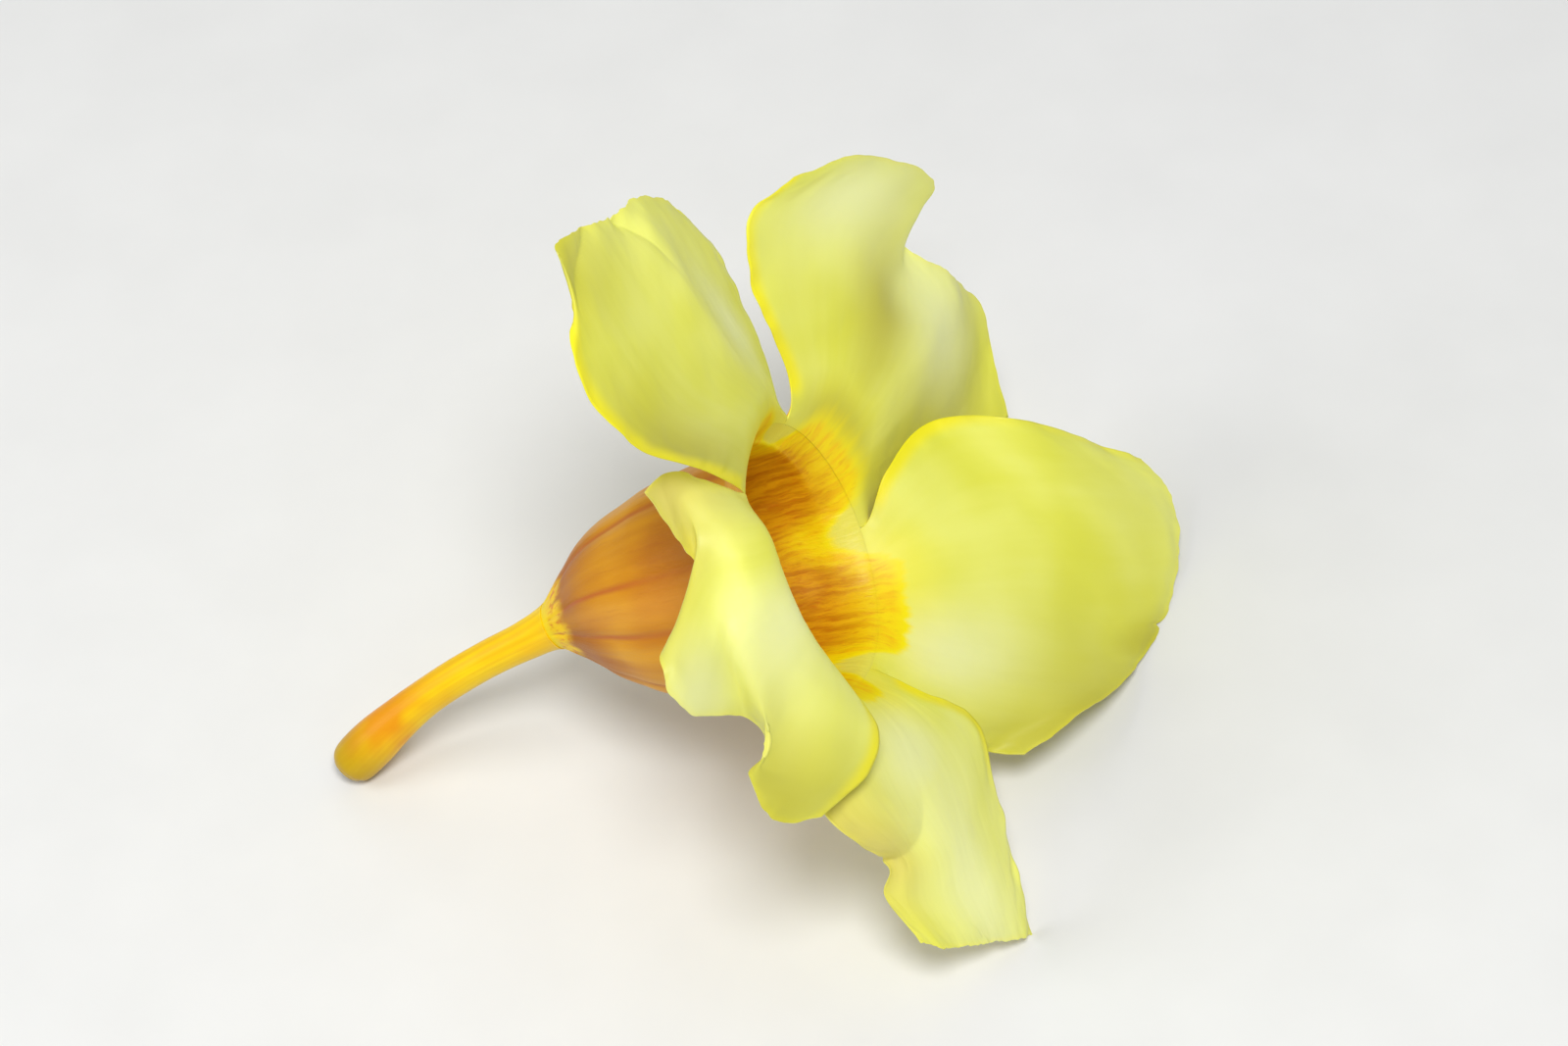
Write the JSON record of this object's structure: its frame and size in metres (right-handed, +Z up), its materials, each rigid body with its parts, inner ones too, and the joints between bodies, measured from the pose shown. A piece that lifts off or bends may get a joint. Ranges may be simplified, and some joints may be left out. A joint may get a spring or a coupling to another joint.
{
  "type": "allamanda flower",
  "caption": "Picked trumpet flower lying down: a curved tube widens into a bell-shaped throat with broad overlapping petals.",
  "frame": {"origin": "centre of the bounding box, at the surface that the flower lies on", "axes": "+Z up from the surface; the flower lies along X, tube's end towards -X, the mouth facing +X and 25 degrees upwards; +Y away from the side with the near petal"},
  "size_m": [0.1102, 0.0924, 0.0945],
  "materials": {
    "petal": "soft satin, pale lemon yellow",
    "throat": "satin, orange brown",
    "tube": "satin, golden yellow",
    "scale": "matt, hairy",
    "stamen": "matt"
  },
  "bodies": {
    "root": {"corolla_tube": "tube", "throat": "throat", "petal_bottom": "petal", "petal_right": "petal", "petal_top": "petal", "petal_left": "petal", "petal_near": "petal", "throat_scale_1": "scale", "throat_scale_2": "scale", "throat_scale_3": "scale", "throat_scale_4": "scale", "throat_scale_5": "scale", "stamen_1": "stamen", "stamen_2": "stamen", "stamen_3": "stamen", "stamen_4": "stamen", "stamen_5": "stamen"}
  },
  "joints": []
}
